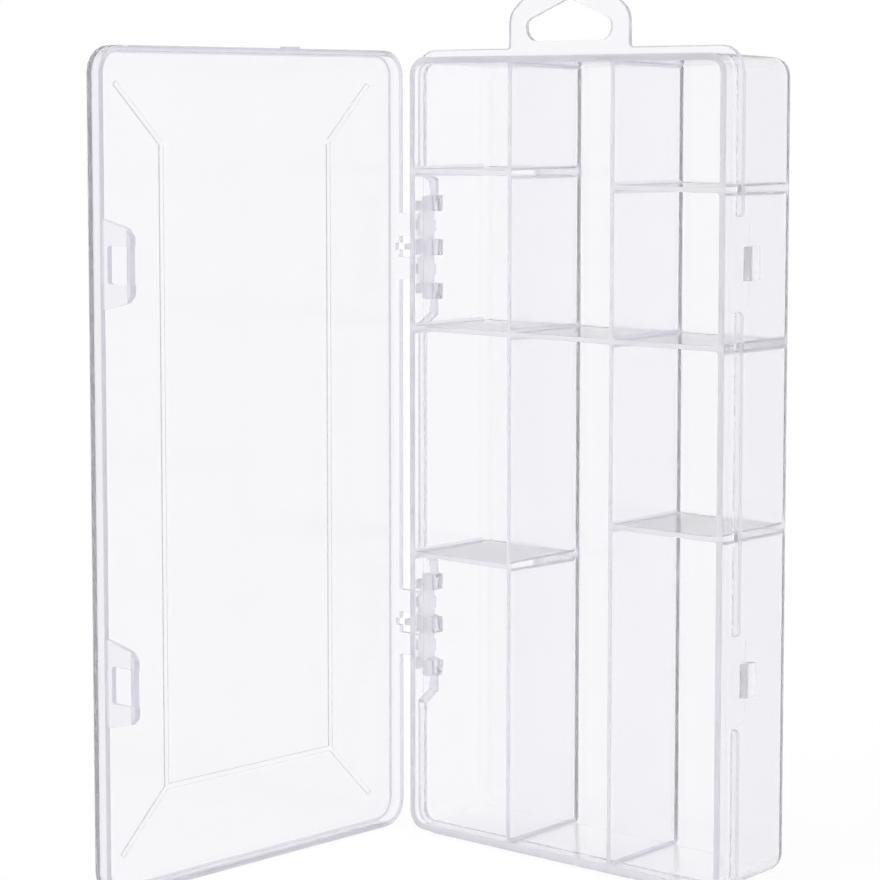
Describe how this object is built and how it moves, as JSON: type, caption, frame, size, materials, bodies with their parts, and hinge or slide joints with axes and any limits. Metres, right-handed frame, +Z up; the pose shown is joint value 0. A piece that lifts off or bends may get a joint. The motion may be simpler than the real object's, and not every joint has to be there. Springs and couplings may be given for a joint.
{
  "type": "small parts box",
  "caption": "Clear hinged small parts box with fixed dividers, snap latches and a hang tab, standing on end with its lid open.",
  "frame": {"origin": "centre of the bounding box's foot, on the surface the open box stands on", "axes": "+Z up towards the hang tab, +X from the hinge side to the latch side, +Y towards the tray's floor, so the cells open towards -Y"},
  "size_m": [0.1204, 0.1284, 0.226],
  "materials": {
    "clear_plastic": "clear moulded polypropylene with a faint lavender tint, smooth and glossy, darker along its edges"
  },
  "bodies": {
    "tray": {"tray": "clear_plastic"},
    "lid": {"lid": "clear_plastic"},
    "lower_latch": {"lower_latch_tab": "clear_plastic"},
    "upper_latch": {"upper_latch_tab": "clear_plastic"}
  },
  "joints": [
    {"name": "lid_hinge", "type": "hinge", "parent": "tray", "child": "lid", "pos_m": [-0.04842, 0.0447, 0.105], "axis": [0, 0, 1], "range_deg": [-90, 90]},
    {"name": "lower_latch_flex", "type": "hinge", "parent": "lid", "child": "lower_latch", "pos_m": [-0.05457, -0.0632, 0.0546], "axis": [0, 0, -1], "range_deg": [0, 12], "stiffness_Nm_per_rad": 0.2},
    {"name": "upper_latch_flex", "type": "hinge", "parent": "lid", "child": "upper_latch", "pos_m": [-0.05457, -0.0632, 0.1572], "axis": [0, 0, -1], "range_deg": [0, 12], "stiffness_Nm_per_rad": 0.2}
  ]
}
